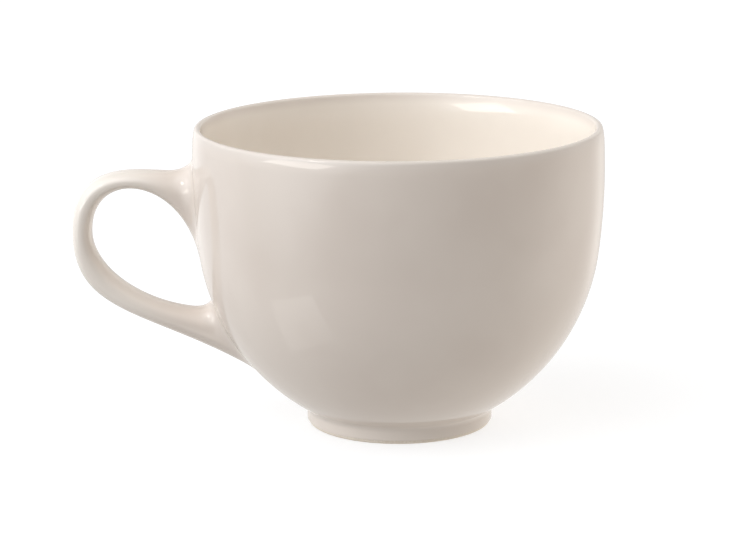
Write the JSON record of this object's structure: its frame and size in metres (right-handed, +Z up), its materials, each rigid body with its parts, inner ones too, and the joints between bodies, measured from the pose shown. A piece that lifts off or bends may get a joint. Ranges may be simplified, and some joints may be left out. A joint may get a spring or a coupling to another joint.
{
  "type": "cappuccino cup",
  "caption": "Round-bellied cappuccino cup on a low foot ring, with an ear-shaped handle luted on with slip and a glossy cream glaze over all but the foot's rim.",
  "frame": {"origin": "centre of the foot ring's resting plane, on the cup's axis", "axes": "+Z up along the cup's axis, -X towards the handle, +Y away from the picture's viewer"},
  "size_m": [0.1226, 0.0946, 0.07],
  "materials": {
    "clay": "fired, under glaze",
    "bare_clay": "fired, ground smooth on the rim",
    "slip": "fired joint, under glaze",
    "glaze": "glossy"
  },
  "bodies": {
    "root": {"bowl": "clay", "foot_ring": "bare_clay", "handle": "clay", "upper_slip_joint": "slip", "lower_slip_joint": "slip", "inner_glaze": "glaze", "outer_glaze": "glaze", "handle_glaze": "glaze", "base_glaze": "glaze"}
  },
  "joints": []
}
